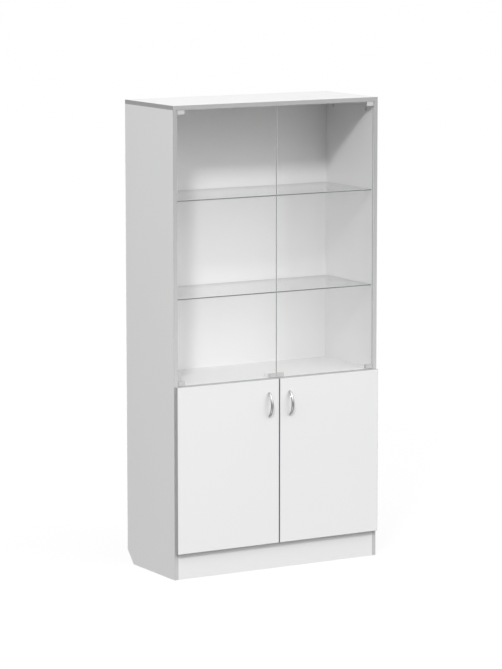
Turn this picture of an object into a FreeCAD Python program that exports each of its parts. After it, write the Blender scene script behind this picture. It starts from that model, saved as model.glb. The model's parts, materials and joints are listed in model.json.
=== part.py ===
"""Two-part display cabinet: glass doors and glass shelves above, laminated doors below.

Millimetres, +Z up, X to the right as seen from the front, Y towards the back.
The origin is on the floor, at the middle of the whole cabinet with its handles.
Depths are counted from the front edges of the carcass, positive towards the back.
"""
import FreeCAD, Part
import math
import os

V = FreeCAD.Vector

# ---- carcass ----
WIDTH = 900.0
HEIGHT = 1800.0
DEPTH = 378.0
BOARD = 16.0
EDGE = 0.8                    # edge band glued on every visible board edge
PLINTH_HEIGHT = 100.0
MIDDLE_SHELF_TOP = 744.0
SKIRTING_CUT = 50.0           # 45 degree cut at the back foot of each side panel
BACK_SHEET = 4.0
BACK_RECESS = 22.0            # back sheet's rear face to the rear edges of the sides
GROOVE_DEPTH = 6.0
BACK_PLAY = 1.0               # back sheet's edge to the bottom of its groove

# ---- laminated lower doors ----
DOOR_THICKNESS = 16.0
DOOR_GAP_BEHIND = 3.0         # door's back face to the carcass front
DOOR_GAP_CENTRE = 5.0
DOOR_SIDE_INSET = 4.0         # door's outer edge in from the side panel's outer face
DOOR_LAP = 2.0                # shelf and bottom board stand past the door by this much

# ---- bow handles ----
HANDLE_PITCH = 94.0
HANDLE_PROJECTION = 25.0
HANDLE_WIDTH = 11.5
HANDLE_STRAP = 4.0
HANDLE_INSET = 46.0           # handle's centre line from the cabinet's centre line
HANDLE_HEIGHT = 643.5
HANDLE_ROUND = 1.2            # along the strap's edges
HANDLE_SCREW_REACH = 2.5      # into the strap's end
HANDLE_SCREW_HEAD = (4.0, 1.6)        # radius, height
HANDLE_SCREW_SLOT = (1.0, 0.7)        # width, depth
SCREW_RADIUS = 2.0

# ---- glass ----
DOOR_GLASS = 4.0
SHELF_GLASS = 5.0
GLASS_SET_BACK = 3.0          # glass door's front face behind the carcass front
GLASS_GAP = 2.0               # round each glass door, and between the two
GLASS_SHELF_TOPS = (1073.0, 1444.0)
GLASS_SHELF_FRONT = 15.0
GLASS_SHELF_BACK = 346.0
GLASS_SHELF_SIDE_GAP = 1.5
PIVOT_FROM_GLASS_EDGE = 8.0
PIVOT_PIN = 2.5               # radius of the pins that the glass doors turn on
PIVOT_CLEARANCE = 0.05
ARRIS = 0.5                   # ground bevel along the long edges of every sheet

# ---- lower shelf behind the laminated doors ----
LOWER_SHELF_TOP = 430.0
LOWER_SHELF_FRONT = 20.0
LOWER_SHELF_SIDE_GAP = 1.0

PIN_RADIUS = 2.5
PIN_HOLE_DEPTH = 9.0
PIN_DEPTHS = (52.0, 308.0)
PIN_ROW_STEP = 32.0

# ---- derived places ----
CARCASS_FRONT = -(DEPTH - DOOR_GAP_BEHIND - DOOR_THICKNESS - HANDLE_PROJECTION) / 2
HALF_WIDTH = WIDTH / 2
INNER = HALF_WIDTH - BOARD
TOP_UNDERSIDE = HEIGHT - BOARD
BOTTOM_TOP = PLINTH_HEIGHT + BOARD
MIDDLE_UNDERSIDE = MIDDLE_SHELF_TOP - BOARD
BACK_FRONT = DEPTH - BACK_RECESS - BACK_SHEET
BACK_REAR = DEPTH - BACK_RECESS
DOOR_BACK = -DOOR_GAP_BEHIND
DOOR_FACE = DOOR_BACK - DOOR_THICKNESS
DOOR_OUTER = HALF_WIDTH - DOOR_SIDE_INSET
DOOR_INNER = DOOR_GAP_CENTRE / 2
DOOR_BOTTOM = PLINTH_HEIGHT + DOOR_LAP
DOOR_TOP = MIDDLE_SHELF_TOP - DOOR_LAP
GLASS_BOTTOM = MIDDLE_SHELF_TOP + GLASS_GAP
GLASS_TOP = TOP_UNDERSIDE - GLASS_GAP
GLASS_OUTER = INNER - GLASS_GAP
GLASS_INNER = GLASS_GAP / 2
GLASS_BACK = GLASS_SET_BACK + DOOR_GLASS
GLASS_MID = GLASS_SET_BACK + DOOR_GLASS / 2
PIVOT_X = GLASS_OUTER - PIVOT_FROM_GLASS_EDGE


def y(depth):
    """Row-frame Y of a depth behind the carcass front."""
    return CARCASS_FRONT + depth


def box(x, depth, z):
    """Box from three (low, high) pairs: X, depth and Z."""
    return Part.makeBox(x[1] - x[0], depth[1] - depth[0], z[1] - z[0], V(x[0], y(depth[0]), z[0]))


def rod(x, depth, z, radius, length, direction):
    """Cylinder from a point, along a direction in X, Y, Z."""
    return Part.makeCylinder(radius, length, V(x, y(depth), z), V(*direction))


def mirror(shape):
    """The same shape on the other side of the cabinet's centre plane."""
    return shape.mirror(V(0, 0, 0), V(1, 0, 0))


def both_sides(shapes):
    return shapes + [mirror(shape) for shape in shapes]


def cut_all(shape, tools):
    return shape.cut(Part.makeCompound(tools)) if tools else shape


def save(node, *solids):
    body = solids[0] if len(solids) == 1 else Part.makeCompound(list(solids))
    body.exportStep(f"parts/{node}.step")


def edges_along(shape, axis):
    """The straight edges of a shape that run along one of X, Y and Z."""
    return [edge for edge in shape.Edges
            if abs(getattr(edge.tangentAt(edge.FirstParameter), axis)) > 0.99]


# ---------------------------------------------------------------- joinery
DOWEL_RADIUS = 4.0
DOWEL_LENGTH = 30.0
DOWEL_IN_FACE = 12.0          # length of a dowel inside the face it stands on
CAM_RADIUS = 7.5
CAM_HEIGHT = 12.5
CAM_SET_BACK = 34.0           # cam's centre from the end of its board
BOLT_SHANK = 3.5
BOLT_THREAD = 2.5
BOLT_IN_FACE = 11.0
BOLT_CLEARANCE = 0.2
BOLT_SHORT = 2.0              # bolt's end from the cam's centre
CAM_SLOT = (8.0, 1.6, 2.0)    # screwdriver slot: length, width, depth
CAM_DEPTHS = (60.0, 300.0)
DOWEL_DEPTHS = (100.0, 260.0)
PLINTH_DOWEL_HEIGHTS = (30.0, 70.0)


def cam(centre, face, along):
    """Cam lock: a disc with a bore for its bolt and a cross slot on its open face."""
    base = centre - face * CAM_HEIGHT
    disc = Part.makeCylinder(CAM_RADIUS, CAM_HEIGHT, base, face)
    bolt_axis = centre - face * (BOARD / 2)
    bore = Part.makeCylinder(BOLT_SHANK + BOLT_CLEARANCE, CAM_RADIUS + 1, bolt_axis, along)
    length, width, sunk = CAM_SLOT
    slots = []
    for direction in (along, face.cross(along)):
        slot = Part.makeBox(length, width, sunk, V(-length / 2, -width / 2, -sunk))
        turn = FreeCAD.Rotation(direction, face.cross(direction), face, "ZXY")
        slot.Placement = FreeCAD.Placement(centre, turn)
        slots.append(slot)
    return disc.cut(bore).cut(Part.makeCompound(slots))


def cam_joint(end, along, face):
    """Cutters, cam and bolt at a board's end. along points out of the board's end.

    end is on the end face, at the middle of the board's thickness, and face is
    the direction in which the cam's open side looks.
    """
    centre = end - along * CAM_SET_BACK + face * (BOARD / 2)
    pocket = Part.makeCylinder(CAM_RADIUS, CAM_HEIGHT, centre - face * CAM_HEIGHT, face)
    shank_hole = Part.makeCylinder(BOLT_SHANK + BOLT_CLEARANCE, CAM_SET_BACK, end, along * -1)
    shank = Part.makeCylinder(BOLT_SHANK, CAM_SET_BACK - BOLT_SHORT, end, along * -1)
    thread = Part.makeCylinder(BOLT_THREAD, BOLT_IN_FACE, end, along)
    return {
        "board": [pocket, shank_hole],
        "face": [thread],
        "cam": cam(centre, face, along),
        "bolt": shank.fuse(thread),
    }


def dowel(end, along):
    """Dowel across a butt joint: DOWEL_IN_FACE goes along, the rest into the board."""
    start = end - along * (DOWEL_LENGTH - DOWEL_IN_FACE)
    return Part.makeCylinder(DOWEL_RADIUS, DOWEL_LENGTH, start, along)


LEFT = V(-1, 0, 0)
UP = V(0, 0, 1)
DOWN = V(0, 0, -1)
INWARD = V(1, 0, 0)

level_joints = {}
for level, middle in (("bottom", PLINTH_HEIGHT + BOARD / 2), ("middle", MIDDLE_SHELF_TOP - BOARD / 2)):
    ends = [V(-INNER, y(depth), middle) for depth in CAM_DEPTHS]
    level_joints[level] = {
        "cams": [cam_joint(end, LEFT, DOWN) for end in ends],
        "dowels": [dowel(V(-INNER, y(depth), middle), LEFT) for depth in DOWEL_DEPTHS],
    }
side_middle = -(HALF_WIDTH - BOARD / 2)
level_joints["top"] = {
    "cams": [cam_joint(V(side_middle, y(d), TOP_UNDERSIDE), UP, INWARD) for d in CAM_DEPTHS],
    "dowels": [dowel(V(side_middle, y(d), TOP_UNDERSIDE), UP) for d in DOWEL_DEPTHS],
}
plinth_dowels = [dowel(V(-INNER, y(BOARD / 2), z), LEFT) for z in PLINTH_DOWEL_HEIGHTS]


def joint_cutters(level, member):
    """What a joint removes: member is 'board' (it holds the cams) or 'face'."""
    joint = level_joints[level]
    return [tool for one in joint["cams"] for tool in one[member]] + joint["dowels"]


def joinery():
    cams, bolts, dowels = [], [], list(plinth_dowels)
    for joint in level_joints.values():
        cams += [one["cam"] for one in joint["cams"]]
        bolts += [one["bolt"] for one in joint["cams"]]
        dowels += joint["dowels"]
    save("cam_locks", *both_sides(cams))
    save("cam_bolts", *both_sides(bolts))
    save("wood_dowels", *both_sides(dowels))


# ---------------------------------------------------------------- boards
HINGE_FROM_DOOR_END = 90.0
HINGE_HEIGHTS = (DOOR_BOTTOM + HINGE_FROM_DOOR_END, DOOR_TOP - HINGE_FROM_DOOR_END)
PLATE_SCREW_DEPTH = 37.0
PLATE_SCREW_STEP = 32.0
PLATE_SCREW_LENGTH = 12.0
PLATE_SCREW_NECK = 1.0        # shank inside the plate, under the head's cone
PLATE_SCREW_RADIUS = 1.8
PLATE_SCREW_HEAD = (3.6, 2.0)         # radius, height
LATCH_SCREWS = ((-24.0, 40.0), (24.0, 40.0))
BUSH_RADIUS = 4.0
BUSH_DEPTH = 9.0
NAIL_RADIUS = 0.8
NAIL_LENGTH = 20.0
NAIL_HEAD = (2.2, 0.8)        # radius, height
NAIL_XS = (-380.0, -190.0, 0.0, 190.0, 380.0)
NAIL_HEIGHTS = (PLINTH_HEIGHT + BOARD / 2, MIDDLE_SHELF_TOP - BOARD / 2)
PAD_THICKNESS = 0.8
SPARE_PIN_ROWS = (-2, -1, 0, 1, 2)    # steps from the row that carries the lower shelf

shelf_pin_heights = [top - SHELF_GLASS - PIN_RADIUS - PAD_THICKNESS for top in GLASS_SHELF_TOPS]
lower_pin_height = LOWER_SHELF_TOP - BOARD - PIN_RADIUS


def left_pin_holes():
    heights = shelf_pin_heights + [lower_pin_height + PIN_ROW_STEP * n for n in SPARE_PIN_ROWS]
    return [rod(-INNER, depth, z, PIN_RADIUS, PIN_HOLE_DEPTH, (-1, 0, 0))
            for z in heights for depth in PIN_DEPTHS]


def plate_screw(z):
    """Countersunk screw through the hinge plate into the left side panel."""
    shank = rod(-INNER + PLATE_SCREW_NECK, PLATE_SCREW_DEPTH, z, PLATE_SCREW_RADIUS,
                PLATE_SCREW_LENGTH + PLATE_SCREW_NECK, (-1, 0, 0))
    base = V(-INNER + PLATE_SCREW_NECK, y(PLATE_SCREW_DEPTH), z)
    return shank.fuse(Part.makeCone(PLATE_SCREW_RADIUS, *PLATE_SCREW_HEAD, base, V(1, 0, 0)))


plate_screws = [plate_screw(height + shift) for height in HINGE_HEIGHTS
                for shift in (-PLATE_SCREW_STEP / 2, PLATE_SCREW_STEP / 2)]


def side_outline(front, back, left):
    """Side panel: a board to the floor with its back foot cut away for the skirting."""
    points = [(front, 0), (back - SKIRTING_CUT, 0), (back, SKIRTING_CUT),
              (back, TOP_UNDERSIDE), (front, TOP_UNDERSIDE)]
    path = [V(left, y(depth), z) for depth, z in points]
    return Part.Face(Part.makePolygon(path + path[:1])).extrude(V(BOARD, 0, 0))


def side_panels():
    panel = side_outline(EDGE, DEPTH, -HALF_WIDTH)
    groove = box((-INNER - GROOVE_DEPTH, -INNER), (BACK_FRONT, BACK_REAR), (SKIRTING_CUT, TOP_UNDERSIDE))
    tools = [groove] + left_pin_holes() + plate_screws + plinth_dowels
    for level in ("bottom", "middle"):
        tools += joint_cutters(level, "face")
    tools += joint_cutters("top", "board")
    panel = cut_all(panel, tools)
    band = box((-HALF_WIDTH, -INNER), (0, EDGE), (0, TOP_UNDERSIDE))
    save("left_side_panel", panel)
    save("right_side_panel", mirror(panel))
    save("left_side_edge_band", band)
    save("right_side_edge_band", mirror(band))


def pivot_bush(z, direction):
    """Plastic bush let into a board round a glass door's pivot pin: its seat and itself."""
    sleeve = rod(-PIVOT_X, GLASS_MID, z, BUSH_RADIUS, BUSH_DEPTH, direction)
    bore = rod(-PIVOT_X, GLASS_MID, z, PIVOT_PIN + PIVOT_CLEARANCE, BUSH_DEPTH, direction)
    return sleeve, sleeve.cut(bore)


def top_panel():
    bands = [box((-HALF_WIDTH, HALF_WIDTH), (0, EDGE), (TOP_UNDERSIDE, HEIGHT)),
             box((-HALF_WIDTH, -HALF_WIDTH + EDGE), (EDGE, DEPTH), (TOP_UNDERSIDE, HEIGHT)),
             box((HALF_WIDTH - EDGE, HALF_WIDTH), (EDGE, DEPTH), (TOP_UNDERSIDE, HEIGHT))]
    panel = box((-HALF_WIDTH + EDGE, HALF_WIDTH - EDGE), (EDGE, DEPTH), (TOP_UNDERSIDE, HEIGHT))
    groove = box((-INNER - GROOVE_DEPTH, INNER + GROOVE_DEPTH), (BACK_FRONT, BACK_REAR),
                 (TOP_UNDERSIDE, TOP_UNDERSIDE + GROOVE_DEPTH))
    seat, bush = pivot_bush(TOP_UNDERSIDE, (0, 0, 1))
    tools = [groove] + both_sides(joint_cutters("top", "face") + [seat])
    save("top_panel", cut_all(panel, tools))
    save("top_edge_bands", *bands)
    save("top_pivot_bushes", *both_sides([bush]))


def nail(x, z):
    shank = rod(x, BACK_REAR, z, NAIL_RADIUS, NAIL_LENGTH, (0, -1, 0))
    head = rod(x, BACK_REAR, z, *NAIL_HEAD, (0, 1, 0))
    return shank.fuse(head)


nails = [nail(x, z) for z in NAIL_HEIGHTS for x in NAIL_XS]


def level_board(level, top, extra_tools):
    """Board between the sides: front edge band, cams under it, nailed at the back."""
    span = (-INNER, INNER)
    board = box(span, (EDGE, BACK_FRONT), (top - BOARD, top))
    tools = both_sides(joint_cutters(level, "board")) + nails + extra_tools
    return cut_all(board, tools), box(span, (0, EDGE), (top - BOARD, top))


def level_boards():
    panel, band = level_board("bottom", BOTTOM_TOP, [])
    save("bottom_panel", panel)
    save("bottom_edge_band", band)
    seat, bush = pivot_bush(MIDDLE_SHELF_TOP, (0, 0, -1))
    screw_holes = [latch_screw(x, depth) for x, depth in LATCH_SCREWS]
    panel, band = level_board("middle", MIDDLE_SHELF_TOP, both_sides([seat]) + screw_holes)
    save("middle_shelf", panel)
    save("middle_shelf_edge_band", band)
    save("bottom_pivot_bushes", *both_sides([bush]))


def plinth_and_back():
    plinth = box((-INNER, INNER), (0, BOARD), (0, PLINTH_HEIGHT))
    save("plinth_board", cut_all(plinth, both_sides(plinth_dowels)))
    reach = INNER + GROOVE_DEPTH - BACK_PLAY
    sheet = box((-reach, reach), (BACK_FRONT, BACK_REAR),
                (PLINTH_HEIGHT, TOP_UNDERSIDE + GROOVE_DEPTH - BACK_PLAY))
    save("back_panel", cut_all(sheet, nails))
    save("back_panel_nails", *nails)


# ---------------------------------------------------------------- shelves
PIN_REACH = 8.0
PIN_IN_HOLE = 8.5
PIN_COLLAR = (3.5, 1.0)       # radius, thickness
PAD_RADIUS = 2.6
PAD_FROM_SIDE = 5.0


def shelf_pin(depth, z):
    """Round pin in the side panel, with a collar that is cut flat under the shelf."""
    shank = rod(-INNER, depth, z, PIN_RADIUS, PIN_IN_HOLE, (-1, 0, 0))
    collar = rod(-INNER, depth, z, *PIN_COLLAR, (1, 0, 0))
    reach = rod(-INNER, depth, z, PIN_RADIUS, PIN_REACH, (1, 0, 0))
    radius, thickness = PIN_COLLAR
    above = box((-INNER, -INNER + thickness), (depth - radius, depth + radius),
                (z + PIN_RADIUS, z + radius))
    return shank.fuse([collar, reach]).cut(above)


def glass_shelves():
    reach = INNER - GLASS_SHELF_SIDE_GAP
    for name, top in zip(("lower_glass_shelf", "upper_glass_shelf"), GLASS_SHELF_TOPS):
        sheet = box((-reach, reach), (GLASS_SHELF_FRONT, GLASS_SHELF_BACK), (top - SHELF_GLASS, top))
        save(name, sheet.makeChamfer(ARRIS, edges_along(sheet, "x") + edges_along(sheet, "y")))
    pins = [shelf_pin(depth, z) for z in shelf_pin_heights for depth in PIN_DEPTHS]
    pads = [rod(-INNER + PAD_FROM_SIDE, depth, z + PIN_RADIUS, PAD_RADIUS, PAD_THICKNESS, (0, 0, 1))
            for z in shelf_pin_heights for depth in PIN_DEPTHS]
    save("glass_shelf_pins", *both_sides(pins))
    save("glass_shelf_pads", *both_sides(pads))


def lower_shelf():
    reach = INNER - LOWER_SHELF_SIDE_GAP
    span = (-reach, reach)
    low = LOWER_SHELF_TOP - BOARD
    board = box(span, (LOWER_SHELF_FRONT + EDGE, GLASS_SHELF_BACK), (low, LOWER_SHELF_TOP))
    save("lower_shelf", board)
    save("lower_shelf_edge_band", box(span, (LOWER_SHELF_FRONT, LOWER_SHELF_FRONT + EDGE),
                                      (low, LOWER_SHELF_TOP)))
    save("lower_shelf_pins", *both_sides([shelf_pin(depth, lower_pin_height) for depth in PIN_DEPTHS]))


# ---------------------------------------------------------------- glass doors
CLIP_WIDTH = 30.0
CLIP_HEIGHT = 15.0
CLIP_WALL = 1.8
CLIP_ROUND = 1.2
CLIP_BRIDGE = 1.2             # metal across the glass's edge
CLIP_FROM_EDGE = 1.0
CLIP_PAD = 0.5
CLIP_PAD_INSET = 1.0
CLIP_PIN_LENGTH = 8.0
CLIP_PIN_START = 0.6          # inside the bridge
CLIP_SCREW_FROM_END = 8.0
CLIP_SCREW_SHARE = 0.55       # how far down the clip its clamp screw sits
CLIP_SCREW = (2.5, 3.0)       # radius, length
CLIP_SOCKET = (1.2, 1.4)      # radius, depth
OVER = 1.0                    # how far a cutter runs past the face it opens


def glass_clip(sign, glass_edge):
    """U-shaped clip over a glass door's corner, with its pivot pin, clamp screw and pads.

    sign is +1 for the top corner and -1 for the bottom one.
    """
    def span(first, last):
        """Z range between two distances past the glass's edge, outwards positive."""
        return tuple(sorted((glass_edge + sign * first, glass_edge + sign * last)))

    x = (-GLASS_OUTER + CLIP_FROM_EDGE, -GLASS_OUTER + CLIP_FROM_EDGE + CLIP_WIDTH)
    throat = (GLASS_SET_BACK - CLIP_PAD, GLASS_BACK + CLIP_PAD)
    shell = box(x, (throat[0] - CLIP_WALL, throat[1] + CLIP_WALL), span(-CLIP_HEIGHT, CLIP_BRIDGE))
    shell = shell.makeFillet(CLIP_ROUND, edges_along(shell, "y"))
    slot = box((x[0] - OVER, x[1] + OVER), throat, span(-CLIP_HEIGHT - OVER, 0))
    pin = rod(-PIVOT_X, GLASS_MID, glass_edge + sign * CLIP_PIN_START, PIVOT_PIN, CLIP_PIN_LENGTH,
              (0, 0, sign))

    screw_x = x[1] - CLIP_SCREW_FROM_END
    screw_z = glass_edge - sign * CLIP_HEIGHT * CLIP_SCREW_SHARE
    screw_radius, screw_length = CLIP_SCREW
    socket_radius, socket_depth = CLIP_SOCKET
    hole = rod(screw_x, throat[1], screw_z, screw_radius, CLIP_WALL, (0, 1, 0))
    screw = rod(screw_x, throat[1], screw_z, screw_radius, screw_length, (0, 1, 0))
    socket = rod(screw_x, throat[1] + screw_length - socket_depth, screw_z, socket_radius,
                 socket_depth, (0, 1, 0))
    pad_x = (x[0] + CLIP_PAD_INSET, x[1] - CLIP_PAD_INSET)
    pads = [box(pad_x, depth, span(-CLIP_HEIGHT + CLIP_PAD_INSET, 0))
            for depth in ((throat[0], GLASS_SET_BACK), (GLASS_BACK, throat[1]))]
    return shell.cut(slot).fuse(pin).cut(hole), screw.cut(socket), pads


STRIKE_WIDTH = 31.0
STRIKE_HEIGHT = 15.0
STRIKE_WALL = 1.2
STRIKE_ROUND = 0.8


def strike_plate():
    """Folded steel plate over the free lower corner of a glass door, for the latch magnet."""
    x = (-GLASS_INNER - STRIKE_WIDTH, -GLASS_INNER)
    outside = (GLASS_SET_BACK - STRIKE_WALL, GLASS_BACK + STRIKE_WALL)
    shell = box(x, outside, (GLASS_BOTTOM - STRIKE_WALL, GLASS_BOTTOM + STRIKE_HEIGHT))
    slot = box((x[0] - OVER, x[1] + OVER), (GLASS_SET_BACK, GLASS_BACK),
               (GLASS_BOTTOM, GLASS_BOTTOM + STRIKE_HEIGHT + OVER))
    return shell.makeFillet(STRIKE_ROUND, edges_along(shell, "x")).cut(slot)


def glass_doors():
    sheet = box((-GLASS_OUTER, -GLASS_INNER), (GLASS_SET_BACK, GLASS_BACK), (GLASS_BOTTOM, GLASS_TOP))
    sheet = sheet.makeChamfer(ARRIS, edges_along(sheet, "x") + edges_along(sheet, "z"))
    clips, screws, pads = [], [], []
    for sign, glass_edge in ((1, GLASS_TOP), (-1, GLASS_BOTTOM)):
        clip, screw, pair = glass_clip(sign, glass_edge)
        clips.append(clip)
        screws.append(screw)
        pads += pair
    for side, turn in (("left", lambda shape: shape), ("right", mirror)):
        save(f"{side}_glass_door", turn(sheet))
        save(f"{side}_glass_door_clips", *[turn(clip) for clip in clips])
        save(f"{side}_clip_screws_and_pads", *[turn(piece) for piece in screws + pads])
        save(f"{side}_strike_plate", turn(strike_plate()))


# ---------------------------------------------------------------- push latch
LATCH_HALF_WIDTH = 33.0
LATCH_FRONT = 12.0
LATCH_BACK = 46.0
LATCH_HEIGHT = 12.5
LATCH_ROUND = 1.5
EAR_HALF_WIDTH = 5.0
EAR_FROM_SCREW = 6.0
EAR_HEIGHT = 3.8
LATCH_SCREW_RADIUS = 1.5
LATCH_SCREW_LENGTH = 10.0     # inside the shelf
LATCH_SCREW_NECK = 2.0        # inside the ear, under the head's cone
LATCH_SCREW_HEAD = (3.0, 1.8)
PLUNGER_X = 15.0
PLUNGER_RADIUS = 4.0
PLUNGER_CLEARANCE = 0.1
PLUNGER_REACH = 18.0          # inside the housing
PLUNGER_BORE = 24.0
PLUNGER_CHAMFER = 0.5
NOSE_GAP = 0.3                # plunger's nose to the strike plate


def latch_screw(x, depth):
    """Countersunk screw through an ear of the latch into the middle shelf."""
    shank = rod(x, depth, MIDDLE_SHELF_TOP - LATCH_SCREW_LENGTH, LATCH_SCREW_RADIUS,
                LATCH_SCREW_LENGTH + LATCH_SCREW_NECK, (0, 0, 1))
    base = V(x, y(depth), MIDDLE_SHELF_TOP + LATCH_SCREW_NECK)
    return shank.fuse(Part.makeCone(LATCH_SCREW_RADIUS, *LATCH_SCREW_HEAD, base, V(0, 0, 1)))


def push_latch():
    """Double magnetic push latch on the middle shelf, behind the two strike plates."""
    low, high = MIDDLE_SHELF_TOP, MIDDLE_SHELF_TOP + LATCH_HEIGHT
    case = box((-LATCH_HALF_WIDTH, LATCH_HALF_WIDTH), (LATCH_FRONT, LATCH_BACK), (low, high))
    seated = [edge for edge in case.Edges if edge.BoundBox.ZMax < low + LATCH_ROUND]
    exposed = [edge for edge in case.Edges if not any(edge.isSame(other) for other in seated)]
    case = case.makeFillet(LATCH_ROUND, exposed)
    middle = low + LATCH_HEIGHT / 2
    ears = [box((x - EAR_HALF_WIDTH, x + EAR_HALF_WIDTH), (depth - EAR_FROM_SCREW, LATCH_BACK + OVER),
                (low + EAR_HEIGHT, high + OVER)) for x, depth in LATCH_SCREWS]
    screws = [latch_screw(x, depth) for x, depth in LATCH_SCREWS]
    bores = [rod(x, LATCH_FRONT, middle, PLUNGER_RADIUS + PLUNGER_CLEARANCE, PLUNGER_BORE, (0, 1, 0))
             for x in (-PLUNGER_X, PLUNGER_X)]
    save("latch_housing", cut_all(case, ears + screws + bores))
    save("latch_screws", *screws)
    nose = GLASS_BACK + STRIKE_WALL + NOSE_GAP
    plunger = rod(-PLUNGER_X, nose, middle, PLUNGER_RADIUS, LATCH_FRONT + PLUNGER_REACH - nose,
                  (0, 1, 0))
    rims = [edge for edge in plunger.Edges if edge.Closed]
    plunger = plunger.makeChamfer(PLUNGER_CHAMFER, rims)
    save("left_latch_plunger", plunger)
    save("right_latch_plunger", mirror(plunger))


# ---------------------------------------------------------------- lower doors
CUP_RADIUS = 17.5
CUP_DEPTH = 11.5
CUP_WALL = 1.0
CUP_FROM_EDGE = 21.5
CUP_X = -(DOOR_OUTER - CUP_FROM_EDGE)
CUP_SCREW_STEP = 48.0
CUP_SCREW_SHIFT = 9.5
CUP_SCREW_RADIUS = 1.6
CUP_SCREW_LENGTH = 11.0
CUP_SCREW_HEAD = 2.6
FLANGE_THICKNESS = 1.0
FLANGE_SPAN = (-13.0, 15.0)           # in X, from the cup's centre
FLANGE_HALF_HEIGHT = 31.0
FLANGE_ROUND = 5.0

LINK_PIVOT = (-428.5, 3.5)            # X and depth of the pin at the arm's nose
LINK_TURN = (-413.6, -4.4)            # where the link is cranked
LINK_TIP = (-419.2, -12.1)            # inside the cup
LINK_PIN_RADIUS = 1.5
LINK_PIN_CLEARANCE = 0.06
LINK_EYE = 3.0
LINK_HALF_HEIGHT = 6.0
LINK_THICKNESS = 2.0

ARM_CHEEK = 1.4
ARM_SPINE = -417.0                    # X of the arm's face away from the side panel
ARM_BACK = 62.0
ARM_CHEEK_PLAY = 0.4                  # between a cheek and the link
ARM_HALF_INSIDE = LINK_HALF_HEIGHT + ARM_CHEEK_PLAY
ARM_HALF_HEIGHT = ARM_HALF_INSIDE + ARM_CHEEK
ARM_NOSE_OPEN_TO = 11.0               # depth to which the spine is cut away for the link
ARM_NOSE = ((-431.3, 1.2), (-425.7, 0.5))
ARM_SHOULDER = 9.0                    # depth where the nose meets the spine
ARM_HEEL = 8.0                        # depth where the nose meets the mounting plate
ARM_SCREW_DEPTHS = (26.0, 50.0)
ARM_SCREW_HEAD = 3.1
ARM_SCREW_SHANK = 2.0
ARM_SCREW_PROUD = 0.8
ARM_SCREW_CLEARANCE = 0.1
SCREW_SLOT = 1.0                      # width of a screwdriver slot

PLATE_THICKNESS = 3.0
PLATE_SPINE_DEPTHS = (18.0, 58.0)
PLATE_SPINE_HALF_HEIGHT = 7.4
PLATE_WING_HALF_WIDTH = 6.0
PLATE_WING_HALF_HEIGHT = 24.0
PLATE_WING_ROUND = 5.0

BUMPER_FROM_EDGE = 14.0               # from the door's edge at the cabinet's middle
BUMPER_FROM_END = 7.0
BUMPER_RADIUS = 4.5
BUMPER_PLAY = 0.5                     # to the board the door closes against


def cup_screw(z):
    """Countersunk screw through the cup's flange into the door's back."""
    x = CUP_X + CUP_SCREW_SHIFT
    shank = rod(x, DOOR_BACK, z, CUP_SCREW_RADIUS, CUP_SCREW_LENGTH, (0, -1, 0))
    base = V(x, y(DOOR_BACK), z)
    return shank.fuse(Part.makeCone(CUP_SCREW_RADIUS, CUP_SCREW_HEAD, FLANGE_THICKNESS, base, V(0, 1, 0)))


def hinge_cup(height):
    """Pressed cup let into the door's back, with its screwed flange."""
    flange = box((CUP_X + FLANGE_SPAN[0], CUP_X + FLANGE_SPAN[1]),
                 (DOOR_BACK, DOOR_BACK + FLANGE_THICKNESS),
                 (height - FLANGE_HALF_HEIGHT, height + FLANGE_HALF_HEIGHT))
    flange = flange.makeFillet(FLANGE_ROUND, edges_along(flange, "y"))
    mouth = (CUP_X, DOOR_BACK + FLANGE_THICKNESS, height)
    pot = rod(*mouth, CUP_RADIUS, CUP_DEPTH + FLANGE_THICKNESS, (0, -1, 0))
    hollow = rod(*mouth, CUP_RADIUS - CUP_WALL, CUP_DEPTH + FLANGE_THICKNESS - CUP_WALL, (0, -1, 0))
    screws = [cup_screw(height + shift) for shift in (-CUP_SCREW_STEP / 2, CUP_SCREW_STEP / 2)]
    return cut_all(flange.fuse(pot), [hollow] + screws)


def link_bar(start, end, z_low):
    """One straight stretch of the link, with a round end where it arrives."""
    run, rise = end[0] - start[0], end[1] - start[1]
    height = 2 * LINK_HALF_HEIGHT
    bar = Part.makeBox(math.hypot(run, rise), LINK_THICKNESS, height, V(0, -LINK_THICKNESS / 2, 0))
    turn = FreeCAD.Rotation(V(0, 0, 1), math.degrees(math.atan2(rise, run)))
    bar.Placement = FreeCAD.Placement(V(start[0], y(start[1]), z_low), turn)
    return bar.fuse(rod(*end, z_low, LINK_THICKNESS / 2, height, (0, 0, 1)))


def hinge_link(height):
    """Cranked link: its eye turns on the arm's pin and its tip reaches into the cup."""
    low = height - LINK_HALF_HEIGHT
    bars = [link_bar(LINK_PIVOT, LINK_TURN, low), link_bar(LINK_TURN, LINK_TIP, low)]
    eye = rod(*LINK_PIVOT, low, LINK_EYE, 2 * LINK_HALF_HEIGHT, (0, 0, 1))
    bore = rod(*LINK_PIVOT, low, LINK_PIN_RADIUS + LINK_PIN_CLEARANCE, 2 * LINK_HALF_HEIGHT, (0, 0, 1))
    return eye.fuse(bars).cut(bore).removeSplitter()


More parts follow.
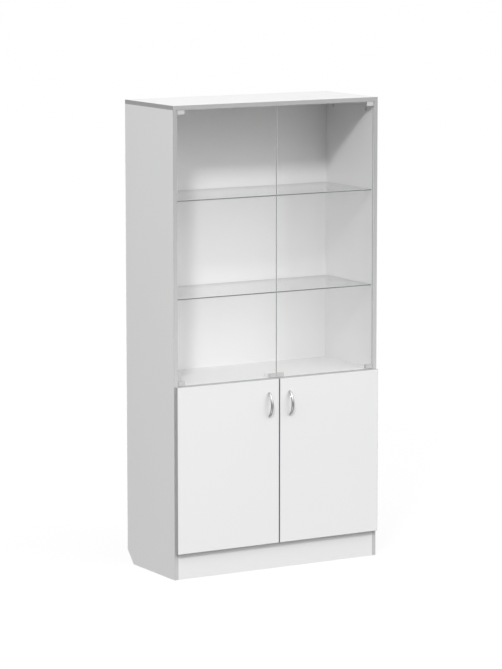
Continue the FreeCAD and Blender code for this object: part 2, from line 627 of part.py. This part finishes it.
def hinge_arm(height):
    """U-shaped arm, open towards the side panel, with the link's pin across its nose."""
    plate_face = -INNER + PLATE_THICKNESS
    outline = [*ARM_NOSE, (ARM_SPINE, ARM_SHOULDER), (ARM_SPINE, ARM_BACK),
               (plate_face, ARM_BACK), (plate_face, ARM_HEEL)]
    path = [V(x, y(depth), height - ARM_HALF_HEIGHT) for x, depth in outline]
    body = Part.Face(Part.makePolygon(path + path[:1])).extrude(V(0, 0, 2 * ARM_HALF_HEIGHT))
    between_cheeks = (height - ARM_HALF_INSIDE, height + ARM_HALF_INSIDE)
    inside = box((-INNER, ARM_SPINE - ARM_CHEEK), (-OVER, ARM_BACK + OVER), between_cheeks)
    nose = box((ARM_SPINE - ARM_CHEEK - OVER, ARM_SPINE + OVER), (-OVER, ARM_NOSE_OPEN_TO),
               between_cheeks)
    pin = rod(*LINK_PIVOT, height - ARM_HALF_HEIGHT, LINK_PIN_RADIUS, 2 * ARM_HALF_HEIGHT, (0, 0, 1))
    hole_radius = ARM_SCREW_HEAD + ARM_SCREW_CLEARANCE
    holes = [rod(ARM_SPINE - ARM_CHEEK, depth, height, hole_radius, ARM_CHEEK, (1, 0, 0))
             for depth in ARM_SCREW_DEPTHS]
    return cut_all(body, [inside, nose] + holes).fuse(pin)


def arm_screws(height):
    """Side adjuster and clamp screw in the arm's spine, down to the plate."""
    plate_face = -INNER + PLATE_THICKNESS
    under_head = ARM_SPINE - ARM_CHEEK
    screws = []
    for depth in ARM_SCREW_DEPTHS:
        head = rod(under_head, depth, height, ARM_SCREW_HEAD, ARM_CHEEK + ARM_SCREW_PROUD, (1, 0, 0))
        shank = rod(plate_face, depth, height, ARM_SCREW_SHANK, under_head - plate_face, (1, 0, 0))
        slot = box((ARM_SPINE, ARM_SPINE + ARM_SCREW_PROUD),
                   (depth - SCREW_SLOT / 2, depth + SCREW_SLOT / 2),
                   (height - ARM_SCREW_HEAD, height + ARM_SCREW_HEAD))
        screws.append(head.fuse(shank).cut(slot))
    return screws


def hinge_plate(height):
    """Cross-shaped mounting plate: a spine under the arm and two screw wings."""
    x = (-INNER, -INNER + PLATE_THICKNESS)
    spine = box(x, PLATE_SPINE_DEPTHS,
                (height - PLATE_SPINE_HALF_HEIGHT, height + PLATE_SPINE_HALF_HEIGHT))
    wings = box(x,
                (PLATE_SCREW_DEPTH - PLATE_WING_HALF_WIDTH, PLATE_SCREW_DEPTH + PLATE_WING_HALF_WIDTH),
                (height - PLATE_WING_HALF_HEIGHT, height + PLATE_WING_HALF_HEIGHT))
    wings = wings.makeFillet(PLATE_WING_ROUND, edges_along(wings, "x"))
    return cut_all(spine.fuse(wings).removeSplitter(), plate_screws)


def bow_handle():
    """Arched strap that stands on the door with both ends, screwed on from behind."""
    face = y(DOOR_FACE)
    half = HANDLE_PITCH / 2

    def arc(reach, top):
        ends = V(0, face, HANDLE_HEIGHT - top), V(0, face, HANDLE_HEIGHT + top)
        return Part.Arc(ends[0], V(0, face - reach, HANDLE_HEIGHT), ends[1]).toShape()

    outer = arc(HANDLE_PROJECTION, half + HANDLE_STRAP)
    inner = arc(HANDLE_PROJECTION - HANDLE_STRAP, half - HANDLE_STRAP)
    ends = [Part.LineSegment(outer.Vertexes[n].Point, inner.Vertexes[n].Point).toShape() for n in (0, 1)]
    wire = Part.Wire(Part.__sortEdges__([outer, inner] + ends))
    strap = Part.Face(wire).extrude(V(HANDLE_WIDTH, 0, 0))
    strap.translate(V(-HANDLE_INSET - HANDLE_WIDTH / 2, 0, 0))
    rails = [edge for edge in strap.Edges if edge.BoundBox.ZLength > half]
    return strap.makeFillet(HANDLE_ROUND, rails)


def handle_screw(z):
    """Machine screw through the door into an end of the handle."""
    x = -HANDLE_INSET
    head_radius, head_height = HANDLE_SCREW_HEAD
    slot_width, slot_depth = HANDLE_SCREW_SLOT
    shank = rod(x, DOOR_BACK, z, SCREW_RADIUS, DOOR_THICKNESS + HANDLE_SCREW_REACH, (0, -1, 0))
    head = rod(x, DOOR_BACK, z, head_radius, head_height, (0, 1, 0))
    head_top = DOOR_BACK + head_height
    slot = box((x - head_radius, x + head_radius), (head_top - slot_depth, head_top),
               (z - slot_width / 2, z + slot_width / 2))
    return shank.fuse(head).cut(slot)


def lower_doors():
    handle_screws = [handle_screw(HANDLE_HEIGHT + s * HANDLE_PITCH / 2) for s in (-1, 1)]
    cups = [hinge_cup(height) for height in HINGE_HEIGHTS]
    cup_screws = [cup_screw(height + shift) for height in HINGE_HEIGHTS
                  for shift in (-CUP_SCREW_STEP / 2, CUP_SCREW_STEP / 2)]
    pots = [rod(CUP_X, DOOR_BACK, height, CUP_RADIUS, CUP_DEPTH, (0, -1, 0)) for height in HINGE_HEIGHTS]
    core = box((-DOOR_OUTER + EDGE, -DOOR_INNER - EDGE), (DOOR_FACE, DOOR_BACK),
               (DOOR_BOTTOM + EDGE, DOOR_TOP - EDGE))
    core = cut_all(core, pots + cup_screws + handle_screws)
    depth = (DOOR_FACE, DOOR_BACK)
    bands = [box((-DOOR_OUTER, -DOOR_OUTER + EDGE), depth, (DOOR_BOTTOM, DOOR_TOP)),
             box((-DOOR_INNER - EDGE, -DOOR_INNER), depth, (DOOR_BOTTOM, DOOR_TOP)),
             box((-DOOR_OUTER + EDGE, -DOOR_INNER - EDGE), depth, (DOOR_BOTTOM, DOOR_BOTTOM + EDGE)),
             box((-DOOR_OUTER + EDGE, -DOOR_INNER - EDGE), depth, (DOOR_TOP - EDGE, DOOR_TOP))]
    handle = cut_all(bow_handle(), handle_screws)
    bumpers = [rod(-DOOR_INNER - BUMPER_FROM_EDGE, DOOR_BACK, z, BUMPER_RADIUS,
                   DOOR_GAP_BEHIND - BUMPER_PLAY, (0, 1, 0))
               for z in (DOOR_BOTTOM + BUMPER_FROM_END, DOOR_TOP - BUMPER_FROM_END)]
    arms = [hinge_arm(height) for height in HINGE_HEIGHTS]
    links = [hinge_link(height) for height in HINGE_HEIGHTS]
    plates = [hinge_plate(height) for height in HINGE_HEIGHTS]
    groups = {"lower_door": [core], "door_edge_bands": bands, "door_handle": [handle],
              "handle_screws": handle_screws, "hinge_cups": cups, "cup_screws": cup_screws,
              "door_bumpers": bumpers, "hinge_arms": arms, "hinge_links": links,
              "hinge_plates": plates}
    for group, pieces in groups.items():
        save(f"left_{group}", *pieces)
        save(f"right_{group}", *[mirror(piece) for piece in pieces])
    save("hinge_plate_screws", *both_sides(plate_screws))
    save("hinge_arm_screws", *both_sides([s for height in HINGE_HEIGHTS for s in arm_screws(height)]))


os.makedirs("parts", exist_ok=True)
side_panels()
top_panel()
level_boards()
plinth_and_back()
joinery()
glass_shelves()
lower_shelf()
glass_doors()
push_latch()
lower_doors()
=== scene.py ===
"""Looks of the white display cabinet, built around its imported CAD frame.

Metres, +Z up, X to the right and -Y to the front, as in the frame.
"""

import json
import math

import bmesh
import bpy
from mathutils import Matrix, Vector


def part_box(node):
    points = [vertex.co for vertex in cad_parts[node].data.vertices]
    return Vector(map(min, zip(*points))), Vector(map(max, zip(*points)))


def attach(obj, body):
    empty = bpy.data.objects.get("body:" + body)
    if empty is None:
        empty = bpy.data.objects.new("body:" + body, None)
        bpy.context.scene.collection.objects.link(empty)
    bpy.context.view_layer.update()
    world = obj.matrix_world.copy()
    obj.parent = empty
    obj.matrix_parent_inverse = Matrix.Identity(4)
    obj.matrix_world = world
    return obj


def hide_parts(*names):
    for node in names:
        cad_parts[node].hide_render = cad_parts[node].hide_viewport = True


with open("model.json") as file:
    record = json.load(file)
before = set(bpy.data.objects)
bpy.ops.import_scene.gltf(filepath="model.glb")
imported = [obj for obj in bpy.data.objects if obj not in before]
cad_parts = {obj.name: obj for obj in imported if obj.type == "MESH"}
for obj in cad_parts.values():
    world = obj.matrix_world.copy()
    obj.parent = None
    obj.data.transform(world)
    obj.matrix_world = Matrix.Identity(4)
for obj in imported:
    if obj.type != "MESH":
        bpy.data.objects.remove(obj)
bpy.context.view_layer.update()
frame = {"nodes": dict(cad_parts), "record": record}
nodes = frame["nodes"]

# ---------------------------------------------------------------- camera
CAMERA_PLACE = (-6.2249, -10.6483, 2.7121)
CAMERA_YAW = -30.243          # degrees, turned from looking along +Y
CAMERA_PITCH = 8.412          # degrees below the horizon
CAMERA_ROLL = 0.029
CAMERA_LENS = 173.59          # millimetres
CAMERA_SENSOR = 36.0          # millimetres, along the long side of the picture
CAMERA_SEES = 100.0           # the camera shows nothing farther off than this

# ---------------------------------------------------------------- light
KEY_DIRECTION = Vector((-0.80, -1.0, 0.82))     # from the cabinet towards the key light
KEY_TARGET = (0.0, 0.0, 1.5)
KEY_DISTANCE = 11.0
KEY_SIZE = 1.20               # across; it sets how soft the shadows' edges are
KEY_POWER = 535.0
SOFTBOXES = (                                   # azimuth from the front, elevation, glow, mirrored glow
    (15, 10, 1.1, 0.5),
    (-75, 40, 3.2, 1.0),
    (45, 40, 3.45, 2.2),
    (180, 50, 0.7, 0.5),
    (150, 5, 0.9, 0.9),
    (-110, 5, 0.5, 0.3),
    (20, -50, 0.5, 1.1),                        # glow that the pale studio floor throws back
)
SOFTBOX_FOCUS = 6.0                             # how quickly a softbox fades off its own direction
FLOOR_SIZE = 40.0
FLOOR_ROUGHNESS = 0.9
FLOOR_COLOR = (0.10, 0.10, 0.10)
FLOOR_GLOW = 0.89                               # with its colour and the lights, all but white


def link(obj):
    bpy.context.scene.collection.objects.link(obj)
    return obj


def add_camera():
    data = bpy.data.cameras.new("camera")
    data.lens = CAMERA_LENS
    data.sensor_width = CAMERA_SENSOR
    data.clip_end = CAMERA_SEES
    cam = link(bpy.data.objects.new("camera", data))
    cam.location = CAMERA_PLACE
    turn = (90 - CAMERA_PITCH, CAMERA_ROLL, CAMERA_YAW)
    cam.rotation_euler = [math.radians(angle) for angle in turn]
    bpy.context.scene.camera = cam


def add_key():
    data = bpy.data.lights.new("key", "AREA")
    data.shape = "DISK"
    data.energy = KEY_POWER
    data.size = KEY_SIZE
    lamp = link(bpy.data.objects.new("key", data))
    lamp.location = Vector(KEY_TARGET) + KEY_DIRECTION.normalized() * KEY_DISTANCE
    lamp.rotation_euler = (-KEY_DIRECTION).to_track_quat("-Z", "Y").to_euler()
    lamp.visible_camera = False


def maths(tree, operation, first, second):
    """One maths node over two sockets or plain numbers."""
    node = tree.nodes.new("ShaderNodeMath")
    node.operation = operation
    for socket, value in zip(node.inputs, (first, second)):
        if isinstance(value, float):
            socket.default_value = value
        else:
            tree.links.new(value, socket)
    return node.outputs[0]


def lobe(tree, direction, azimuth, elevation):
    """Share of the glow of one softbox that comes from a direction of the sky."""
    turn, rise = math.radians(azimuth), math.radians(elevation)
    facing = tree.nodes.new("ShaderNodeVectorMath")
    facing.operation = "DOT_PRODUCT"
    facing.inputs[1].default_value = (math.sin(turn) * math.cos(rise),
                                      -math.cos(turn) * math.cos(rise), math.sin(rise))
    tree.links.new(direction, facing.inputs[0])
    towards = maths(tree, "MAXIMUM", facing.outputs["Value"], 0.0)
    return maths(tree, "POWER", towards, SOFTBOX_FOCUS)


def add_world():
    """Studio sky of a few broad softboxes, plain white behind the object."""
    world = bpy.data.worlds.new("studio")
    bpy.context.scene.world = world
    world.use_nodes = True
    tree = world.node_tree
    tree.nodes.clear()
    direction = tree.nodes.new("ShaderNodeTexCoord").outputs["Generated"]
    path = tree.nodes.new("ShaderNodeLightPath")
    total = 0.0
    for azimuth, elevation, glow, mirrored in SOFTBOXES:
        extra = maths(tree, "MULTIPLY", path.outputs["Is Glossy Ray"], float(mirrored - glow))
        strength = maths(tree, "ADD", extra, float(glow))
        glowing = maths(tree, "MULTIPLY", lobe(tree, direction, azimuth, elevation), strength)
        total = maths(tree, "ADD", glowing, total)
    lit = tree.nodes.new("ShaderNodeBackground")
    tree.links.new(total, lit.inputs["Strength"])
    seen = tree.nodes.new("ShaderNodeBackground")
    seen.inputs["Color"].default_value = (1, 1, 1, 1)
    mix = tree.nodes.new("ShaderNodeMixShader")
    out = tree.nodes.new("ShaderNodeOutputWorld")
    tree.links.new(path.outputs["Is Camera Ray"], mix.inputs[0])
    tree.links.new(lit.outputs[0], mix.inputs[1])
    tree.links.new(seen.outputs[0], mix.inputs[2])
    tree.links.new(mix.outputs[0], out.inputs["Surface"])


# ---------------------------------------------------------------- materials
NOISE_LOW = 0.3               # nearly all values of a noise lie between these two
NOISE_HIGH = 0.7


class Paint:
    """A node material built up a step at a time round one Principled shader."""

    def __init__(self, name, color, roughness, metallic=0.0):
        self.material = bpy.data.materials.new(name)
        self.material.use_nodes = True
        self.tree = self.material.node_tree
        self.shader = self.tree.nodes["Principled BSDF"]
        self.shader.inputs["Base Color"].default_value = (*color, 1)
        self.shader.inputs["Roughness"].default_value = roughness
        self.shader.inputs["Metallic"].default_value = metallic
        self.coords = self.tree.nodes.new("ShaderNodeTexCoord").outputs["Object"]

    def noise(self, scale, detail=2.0, stretch=(1, 1, 1)):
        """Noise in the object's own metres; stretch below 1 draws it out along an axis."""
        place = self.tree.nodes.new("ShaderNodeMapping")
        place.inputs["Scale"].default_value = stretch
        self.tree.links.new(self.coords, place.inputs["Vector"])
        noise = self.tree.nodes.new("ShaderNodeTexNoise")
        noise.inputs["Scale"].default_value = scale
        noise.inputs["Detail"].default_value = detail
        self.tree.links.new(place.outputs[0], noise.inputs["Vector"])
        return noise.outputs["Fac"]

    def spread(self, value, source=(NOISE_LOW, NOISE_HIGH), target=(0.0, 1.0), smooth=False):
        """A value taken from one (low, high) range to another, and held inside it."""
        spread = self.tree.nodes.new("ShaderNodeMapRange")
        spread.interpolation_type = "SMOOTHSTEP" if smooth else "LINEAR"
        spread.inputs["From Min"].default_value, spread.inputs["From Max"].default_value = source
        spread.inputs["To Min"].default_value, spread.inputs["To Max"].default_value = target
        self.tree.links.new(value, spread.inputs["Value"])
        return spread.outputs[0]

    def mix_color(self, share, first, second):
        mix = self.tree.nodes.new("ShaderNodeMix")
        mix.data_type = "RGBA"
        mix.inputs["A"].default_value = (*first, 1)
        mix.inputs["B"].default_value = (*second, 1)
        self.tree.links.new(share, mix.inputs["Factor"])
        self.tree.links.new(mix.outputs["Result"], self.shader.inputs["Base Color"])

    def vary_color(self, noise, first, second):
        self.mix_color(self.spread(noise), first, second)

    def vary_roughness(self, noise, low, high):
        self.tree.links.new(self.spread(noise, target=(low, high)), self.shader.inputs["Roughness"])

    def bump(self, value, depth):
        bump = self.tree.nodes.new("ShaderNodeBump")
        bump.inputs["Distance"].default_value = depth
        self.tree.links.new(value, bump.inputs["Height"])
        self.tree.links.new(bump.outputs[0], self.shader.inputs["Normal"])


def melamine():
    """White melamine face with a fine pearl grain and a hardly visible unevenness of tone."""
    paint = Paint("white_melamine", color=(0.78, 0.78, 0.78), roughness=0.42)
    pearl = paint.noise(scale=900, detail=3)
    tone = paint.noise(scale=3, detail=4)
    paint.vary_color(tone, (0.775, 0.777, 0.78), (0.785, 0.785, 0.783))
    paint.vary_roughness(paint.noise(scale=60, detail=3), low=0.36, high=0.46)
    paint.bump(pearl, depth=0.00006)
    return paint.material


BAND_ROUGHNESS = (0.30, 0.42)
BAND_TONES = (0.98, 1.02)             # darkest and palest patch, as shares of the band's colour
BAND_GRAIN = (1, 1, 0.1)              # drawn out along an upright band


def finish_band(paint):
    """Sheen and fine grain that every edge band shares."""
    paint.vary_roughness(paint.noise(scale=25), *BAND_ROUGHNESS)
    paint.bump(paint.noise(scale=500, stretch=BAND_GRAIN), depth=0.00004)
    return paint.material


def band(name, color):
    """Satin plastic edge band."""
    paint = Paint(name, color, roughness=0.35)
    darkest, palest = ([share * part for part in color] for share in BAND_TONES)
    paint.vary_color(paint.noise(scale=40, detail=3), darkest, palest)
    return finish_band(paint)


SIDE_BAND_REFLECTION_FADE = (0.7, 1.8)           # heights between which the painted reflection fades out
# paler colour low down: painted reflection
SIDE_BAND_LOW_PAINTED_REFLECTION = (0.53, 0.53, 0.535)
SIDE_BAND_HIGH = (0.385, 0.385, 0.39)


def tall_band_with_painted_reflection():
    """Band of a tall side panel, a shade paler low down from a painted reflection of the pale floor."""
    paint = Paint("grey_side_band_painted_reflection", color=(0.45, 0.45, 0.455), roughness=0.35)
    parts = paint.tree.nodes.new("ShaderNodeSeparateXYZ")
    paint.tree.links.new(paint.coords, parts.inputs[0])
    height = paint.spread(parts.outputs["Z"], source=SIDE_BAND_REFLECTION_FADE, smooth=True)
    # painted reflection: the band's colour turns paler towards its foot
    paint.mix_color(height, SIDE_BAND_LOW_PAINTED_REFLECTION, SIDE_BAND_HIGH)
    return finish_band(paint)


def fibre(name, color, other):
    """Fibreboard or wood, mottled between two colours."""
    paint = Paint(name, color, roughness=0.7)
    paint.vary_color(paint.noise(scale=180, detail=6), color, other)
    paint.vary_roughness(paint.noise(scale=90), low=0.6, high=0.8)
    paint.bump(paint.noise(scale=700, detail=4), depth=0.00012)
    return paint.material


METAL_GRAIN = 300                     # noise scale of its uneven shine; its bumps are twice as fine


def metal(name, color, roughness, metallic=1.0):
    """Plated metal whose roughness wanders between two values."""
    low, high = roughness
    paint = Paint(name, color, low, metallic)
    paint.vary_roughness(paint.noise(scale=METAL_GRAIN, detail=3), low, high)
    paint.bump(paint.noise(scale=METAL_GRAIN * 2), depth=0.00002)
    return paint.material


PLASTIC_SMOOTHER = 0.06
PLASTIC_ROUGHER = 0.08


def plastic(name, color, roughness):
    """Moulded plastic with a slightly uneven skin."""
    paint = Paint(name, color, roughness)
    paint.vary_roughness(paint.noise(scale=120), roughness - PLASTIC_SMOOTHER, roughness + PLASTIC_ROUGHER)
    paint.bump(paint.noise(scale=1200), depth=0.00005)
    return paint.material


GLASS_IOR = 1.40
GLASS_TINT = (0.994, 0.995, 0.994)
GLASS_ROUGHNESS = 0.02


def pane():
    """Clear float glass: it lets light straight through and mirrors a little of it."""
    material = bpy.data.materials.new("clear_pane")
    material.use_nodes = True
    tree = material.node_tree
    tree.nodes.clear()
    out = tree.nodes.new("ShaderNodeOutputMaterial")
    through = tree.nodes.new("ShaderNodeBsdfTransparent")
    through.inputs["Color"].default_value = (*GLASS_TINT, 1)
    gloss = tree.nodes.new("ShaderNodeBsdfGlossy")
    gloss.inputs["Roughness"].default_value = GLASS_ROUGHNESS
    gloss.inputs["Color"].default_value = (1, 1, 1, 1)
    side = tree.nodes.new("ShaderNodeNewGeometry")
    index = tree.nodes.new("ShaderNodeMapRange")     # the same mirror share on both faces
    index.inputs["To Min"].default_value = GLASS_IOR
    index.inputs["To Max"].default_value = 1 / GLASS_IOR
    tree.links.new(side.outputs["Backfacing"], index.inputs["Value"])
    fresnel = tree.nodes.new("ShaderNodeFresnel")
    tree.links.new(index.outputs[0], fresnel.inputs["IOR"])
    mix = tree.nodes.new("ShaderNodeMixShader")
    tree.links.new(fresnel.outputs[0], mix.inputs[0])
    tree.links.new(through.outputs[0], mix.inputs[1])
    tree.links.new(gloss.outputs[0], mix.inputs[2])
    tree.links.new(mix.outputs[0], out.inputs["Surface"])
    return material


def ground_edge(name, color, painted_shade_through_glass=None):
    """Ground rim of a sheet of glass, with another colour where it is seen through the sheet: painted
    shade.
    """
    paint = Paint(name, color, roughness=0.3)
    if painted_shade_through_glass:
        side = paint.tree.nodes.new("ShaderNodeNewGeometry")
        # painted shade on the rim where it is seen through the sheet
        paint.mix_color(side.outputs["Backfacing"], color, painted_shade_through_glass)
    paint.vary_roughness(paint.noise(scale=400), low=0.2, high=0.4)
    paint.bump(paint.noise(scale=900), depth=0.00005)
    return paint.material


WHITE = melamine()
BAND = band("grey_edge_band", (0.395, 0.395, 0.40))
TALL_BAND_WITH_PAINTED_REFLECTION = tall_band_with_painted_reflection()
PANE = pane()
# dark colour of a shelf's front rim is a painted reflection of the dark interior
EDGE_PAINTED_DARK_REFLECTION = ground_edge("glass_edge_painted_dark_reflection", (0.17, 0.18, 0.175))
EDGE_PALE = ground_edge("polished_glass_edge", (0.50, 0.52, 0.51))
# the door rims' darker colour, seen through the glass, is painted shade
DOOR_EDGE = ground_edge("glass_door_edge_painted_shade", (0.42, 0.44, 0.43), (0.17, 0.18, 0.175))
# near-white arris colour is a painted highlight
ARRIS_PAINTED_HIGHLIGHT = ground_edge("glass_arris_painted_highlight", (0.82, 0.83, 0.825))
LACQUER = fibre("white_lacquered_fibreboard", (0.82, 0.82, 0.82), (0.84, 0.84, 0.835))
RAW_FIBRE = fibre("raw_fibreboard", (0.40, 0.28, 0.18), (0.48, 0.35, 0.23))
NICKEL = metal("satin_nickel", (0.70, 0.70, 0.69), (0.42, 0.52), metallic=0.6)
CHROME = metal("bright_chrome", (0.66, 0.67, 0.68), (0.10, 0.15))
HINGE_STEEL = metal("nickel_plated_steel", (0.63, 0.62, 0.60), (0.24, 0.34))
ZINC = metal("bright_zinc", (0.60, 0.62, 0.64), (0.28, 0.42))
BEECH = fibre("beech", (0.58, 0.40, 0.24), (0.66, 0.47, 0.29))
WHITE_PLASTIC = plastic("white_plastic", (0.84, 0.84, 0.83), 0.45)
SOFT_PAD = plastic("clear_soft_plastic", (0.74, 0.76, 0.76), 0.30)

SLOT_MATERIALS = {
    "white_board": WHITE, "edge_band": BAND, "back_sheet": LACQUER, "clear_glass": PANE,
    "satin_nickel": NICKEL, "bright_chrome": CHROME, "nickel_steel": HINGE_STEEL,
    "zinc_screws": ZINC, "beech": BEECH, "white_plastic": WHITE_PLASTIC, "clear_rubber": SOFT_PAD,
}
# these bands get the painted reflection low down
TALL_BANDS = ("left_side_edge_band", "right_side_edge_band")


def dress_cad_nodes():
    slot_of = {part["node"]: part["material_slot"] for part in frame["record"]["subparts"]}
    for name, obj in nodes.items():
        obj.data.materials.clear()
        obj.data.materials.append(TALL_BAND_WITH_PAINTED_REFLECTION if name in TALL_BANDS else SLOT_MATERIALS[slot_of[name]])


# ---------------------------------------------------------------- pieces
def body_of(node):
    bodies = frame["record"]["behaviour"]["bodies"]
    return next(body for body, members in bodies.items() if node in members)


def piece(name, mesh, node, materials):
    """Puts a finished mesh in the scene in place of a CAD node."""
    data = bpy.data.meshes.new(name)
    mesh.to_mesh(data)
    mesh.free()
    for material in materials:
        data.materials.append(material)
    obj = link(bpy.data.objects.new(name, data))
    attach(obj, body_of(node))
    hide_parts(node)
    return obj


def block(low, high):
    """Mesh of a box between two corners, to be bevelled by its caller."""
    mesh = bmesh.new()
    bmesh.ops.create_cube(mesh, size=1.0)
    size = Vector(high) - Vector(low)
    middle = (Vector(high) + Vector(low)) / 2
    for vertex in mesh.verts:
        vertex.co = middle + Vector(vertex.co[i] * size[i] for i in range(3))
    return mesh


ARRIS = 0.0005
FACE, FRONT_RIM, OTHER_RIM, BEVEL = range(4)      # order of a glass sheet's materials
SQUARE_ON = 0.99                                  # a normal this far along an axis faces that way
SIDEWAYS = 0.01


def glass_sheet(node, name, front_edge, other_edges):
    """Sheet of glass: clear faces, arrises with a painted highlight and rims that show the glass's depth.
    """
    low, high = (Vector(corner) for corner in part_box(node))
    mesh = block(low, high)
    bmesh.ops.bevel(mesh, geom=mesh.edges[:], offset=ARRIS, segments=1, affect="EDGES")
    size = high - low
    thin = min(range(3), key=lambda i: size[i])
    for face in mesh.faces:
        across = abs(face.normal[thin])
        if across > SQUARE_ON:
            face.material_index = FACE
        elif across > SIDEWAYS:
            face.material_index = BEVEL
        elif face.normal.y < -SQUARE_ON:
            face.material_index = FRONT_RIM
        else:
            face.material_index = OTHER_RIM
    return piece(name, mesh, node, [PANE, front_edge, other_edges, ARRIS_PAINTED_HIGHLIGHT])


BACK_SHEET_ROUND = 0.0003
MOSTLY_FRONT = 0.5


def back_sheet():
    """Fibreboard back, lacquered on the face that looks to the front and raw elsewhere."""
    low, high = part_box("back_panel")
    mesh = block(low, high)
    bmesh.ops.bevel(mesh, geom=mesh.edges[:], offset=BACK_SHEET_ROUND, segments=2, affect="EDGES")
    for face in mesh.faces:
        lacquered = face.normal.y < -MOSTLY_FRONT
        face.material_index = 0 if lacquered else 1
    return piece("lacquered_back_sheet", mesh, "back_panel", [LACQUER, RAW_FIBRE])


HANDLE_STATIONS = 56
HANDLE_RING = 28
HANDLE_SQUARENESS = 0.8       # 1 gives an oval bar, less a squarer one
HANDLE_THICKNESS = 0.005
HANDLE_TIP = 0.007            # length over which each end rounds off
HANDLE_TIP_WIDTH = 0.05       # share of the full width left at the very end
HANDLE_TIP_THICKNESS = 0.4    # share of the full thickness left there


def bow_handle(side):
    """Cast bow handle: an arched bar with a domed face that rounds off at both ends."""
    low, high = (Vector(corner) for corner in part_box(f"{side}_door_handle"))
    middle = (low + high) / 2
    half_width, half_height = (high.x - low.x) / 2, (high.z - low.z) / 2
    reach = high.y - low.y
    radius = (half_height ** 2 + reach ** 2) / (2 * reach)
    half_angle = math.asin(half_height / radius)
    mesh = bmesh.new()
    rings = []
    for station in range(HANDLE_STATIONS + 1):
        # stations crowd towards the two ends, where the bar rounds off
        along = -math.cos(math.pi * station / HANDLE_STATIONS)
        angle = along * half_angle
        from_end = radius * half_angle * (1 - abs(along))
        share = min(from_end / HANDLE_TIP, 1.0)
        taper = math.sqrt(max(1 - (1 - share) ** 2, 0.0))
        width = half_width * max(taper, HANDLE_TIP_WIDTH)
        thickness = HANDLE_THICKNESS / 2 * (HANDLE_TIP_THICKNESS + (1 - HANDLE_TIP_THICKNESS) * taper)
        outwards = Vector((0, -math.cos(angle), math.sin(angle)))
        centre = Vector((middle.x, low.y + radius, middle.z)) + outwards * (radius - HANDLE_THICKNESS / 2)
        ring = []
        for step in range(HANDLE_RING):
            turn = 2 * math.pi * step / HANDLE_RING
            across, out = (math.copysign(abs(part) ** HANDLE_SQUARENESS, part)
                           for part in (math.cos(turn), math.sin(turn)))
            place = centre + Vector((width * across, 0, 0)) + outwards * (thickness * out)
            ring.append(mesh.verts.new(place))
        rings.append(ring)
    for first, second in zip(rings, rings[1:]):
        for step in range(HANDLE_RING):
            after = (step + 1) % HANDLE_RING
            mesh.faces.new((first[step], first[after], second[after], second[step]))
    mesh.faces.new(rings[0])
    mesh.faces.new(rings[-1])
    bmesh.ops.recalc_face_normals(mesh, faces=mesh.faces[:])
    for face in mesh.faces:
        face.smooth = True
    return piece(f"{side}_bow_handle", mesh, f"{side}_door_handle", [CHROME])


def build_pieces():
    for side in ("left", "right"):
        glass_sheet(f"{side}_glass_door", f"{side}_door_pane", DOOR_EDGE, DOOR_EDGE)
        bow_handle(side)
    for level in ("upper", "lower"):
        # the shelves' front rims get the painted dark reflection
        glass_sheet(f"{level}_glass_shelf", f"{level}_shelf_pane", EDGE_PAINTED_DARK_REFLECTION, EDGE_PALE)
    back_sheet()


# ---------------------------------------------------------------- stage
def add_floor():
    """Pale floor that all but melts into the white background; it keeps a breath of shadow."""
    mesh = bmesh.new()
    bmesh.ops.create_grid(mesh, x_segments=4, y_segments=4, size=FLOOR_SIZE)
    data = bpy.data.meshes.new("floor")
    mesh.to_mesh(data)
    mesh.free()
    floor = link(bpy.data.objects.new("floor", data))
    paint = Paint("pale_floor", FLOOR_COLOR, FLOOR_ROUGHNESS)
    paint.shader.inputs["Specular IOR Level"].default_value = 0.0
    paint.shader.inputs["Emission Color"].default_value = (1, 1, 1, 1)
    paint.shader.inputs["Emission Strength"].default_value = FLOOR_GLOW
    data.materials.append(paint.material)
    floor.visible_diffuse = False
    floor.visible_glossy = False


add_camera()
add_world()
add_key()
add_floor()
dress_cad_nodes()
build_pieces()

view = bpy.context.scene.view_settings
view.view_transform = "Standard"
view.look = "None"
